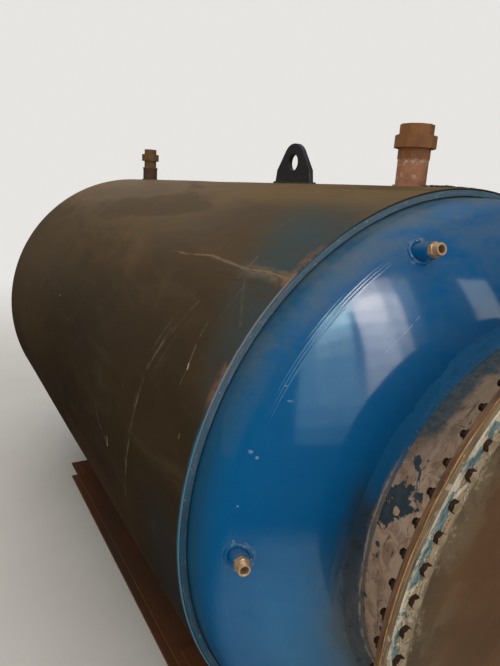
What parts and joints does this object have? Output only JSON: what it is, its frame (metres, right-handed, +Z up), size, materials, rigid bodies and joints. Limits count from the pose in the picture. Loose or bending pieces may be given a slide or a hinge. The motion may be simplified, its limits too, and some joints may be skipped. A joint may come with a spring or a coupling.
{
  "type": "horizontal hot-water boiler",
  "caption": "Horizontal insulated hot-water boiler with dished ends, a large bolted round cover, pipe unions, a lifting lug and base rails.",
  "frame": {"origin": "on the floor under the middle of the bounding box", "axes": "+Z up; the bolted front cover faces -Y, the tank axis runs along Y; +X is to the right seen from the front"},
  "size_m": [1.4, 2.9846, 1.662],
  "materials": {
    "blue_paint": "gloss enamel, worn round the sockets",
    "jacket_paint": "dusty brown sheet, dull",
    "mineral_wool": "fibrous",
    "barrel_paint": "primer",
    "neck_paint": "peeling paint over rust",
    "weld_metal": "dirty weld",
    "flange_rust": "rusty",
    "gasket_rubber": "dull",
    "cover_rust": "smooth brown rust",
    "ring_paint": "peeling cream paint",
    "brass": "tarnished",
    "rusty_pipe": "rusty",
    "dark_pipe": "dull brown",
    "lug_paint": "dark enamel",
    "base_primer": "red-brown primer"
  },
  "bodies": {
    "root": {"barrel": "barrel_paint", "front_head": "blue_paint", "rear_head": "blue_paint", "insulation": "mineral_wool", "front_jacket_sheet": "jacket_paint", "middle_jacket_sheet": "jacket_paint", "rear_jacket_sheet": "jacket_paint", "front_end_ring": "blue_paint", "rear_end_ring": "blue_paint", "neck": "neck_paint", "neck_weld_ring": "weld_metal", "neck_flange": "flange_rust", "cover_gasket": "gasket_rubber", "cover_plate": "cover_rust", "cover_ring": "ring_paint", "upper_socket": "blue_paint", "upper_brass_fitting": "brass", "lower_socket": "blue_paint", "lower_brass_fitting": "brass", "outlet_stub": "rusty_pipe", "outlet_union_body": "rusty_pipe", "outlet_union_nut": "rusty_pipe", "outlet_union_tail": "rusty_pipe", "inlet_stub": "dark_pipe", "inlet_coupling": "dark_pipe", "inlet_union_body": "dark_pipe", "inlet_union_nut": "dark_pipe", "inlet_union_tail": "dark_pipe", "lifting_lug": "lug_paint", "left_rail": "base_primer", "right_rail": "base_primer", "front_saddle": "base_primer", "rear_saddle": "base_primer", "front_saddle_foot": "base_primer", "rear_saddle_foot": "base_primer", "front_wear_plate": "base_primer", "rear_wear_plate": "base_primer", "front_cross_bar": "base_primer", "rear_cross_bar": "base_primer"}
  },
  "joints": []
}
